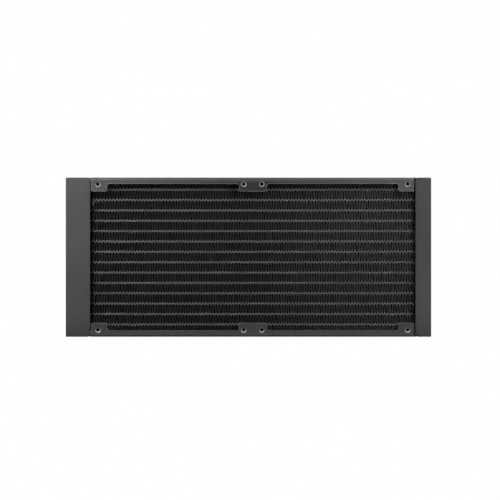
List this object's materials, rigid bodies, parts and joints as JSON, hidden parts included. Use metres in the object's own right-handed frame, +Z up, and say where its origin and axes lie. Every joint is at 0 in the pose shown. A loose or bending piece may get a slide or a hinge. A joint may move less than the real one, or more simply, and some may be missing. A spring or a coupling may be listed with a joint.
{
  "type": "liquid cooling radiator",
  "caption": "Flat tube-and-fin liquid cooling radiator with an end tank at each end, drilled fan flanges along its long edges and threaded coolant ports in the back.",
  "frame": {"origin": "centre of the footprint, at the bottom of the lower long edge", "axes": "+X along the length, from the wide inlet tank to the narrow return tank; +Z up; -Y is the front face, +Y the back face with the ports"},
  "size_m": [0.312, 0.027, 0.136],
  "materials": {
    "tank_paint": "satin black paint on drawn sheet",
    "frame_paint": "fine-grained black powder coat",
    "core_paint": "thin black paint",
    "tube_paint": "satin black paint",
    "fin_paint": "thin black paint on louvred fin sheet",
    "bare_aluminium": "mill",
    "port_metal": "machined",
    "screw_metal": "black zinc",
    "seal_rubber": "matt"
  },
  "bodies": {
    "radiator": {"tank_inlet": "tank_paint", "tank_return": "tank_paint", "header_inlet": "tank_paint", "header_return": "tank_paint", "tank_baffle": "bare_aluminium", "port_boss_lower": "port_metal", "port_boss_upper": "port_metal", "bleed_boss": "port_metal", "channel_top": "frame_paint", "channel_bottom": "frame_paint", "core_plate_top": "core_paint", "core_plate_bottom": "core_paint", "tube_01": "tube_paint", "tube_02": "tube_paint", "tube_03": "tube_paint", "tube_04": "tube_paint", "tube_05": "tube_paint", "tube_06": "tube_paint", "tube_07": "tube_paint", "tube_08": "tube_paint", "tube_09": "tube_paint", "tube_10": "tube_paint", "tube_11": "tube_paint", "tube_12": "tube_paint", "tube_13": "tube_paint", "tube_14": "tube_paint", "fin_01": "fin_paint", "fin_02": "fin_paint", "fin_03": "fin_paint", "fin_04": "fin_paint", "fin_05": "fin_paint", "fin_06": "fin_paint", "fin_07": "fin_paint", "fin_08": "fin_paint", "fin_09": "fin_paint", "fin_10": "fin_paint", "fin_11": "fin_paint", "fin_12": "fin_paint", "fin_13": "fin_paint", "fin_14": "fin_paint", "fin_15": "fin_paint"},
    "seal": {"bleed_seal": "seal_rubber"},
    "screw": {"bleed_screw": "screw_metal"}
  },
  "joints": [
    {"name": "bleed_screw_travel", "type": "slide", "parent": "radiator", "child": "seal", "axis": [0, 1, 0], "range_m": [0, 0.005]},
    {"name": "bleed_screw_turn", "type": "hinge", "parent": "seal", "child": "screw", "pos_m": [0.15005, 0.0135, 0.12], "axis": [0, 1, 0], "range_deg": [0, 2250]}
  ],
  "couplings": [
    {"joint": "bleed_screw_turn", "follows": "bleed_screw_travel", "rad_per_m": 7854}
  ]
}
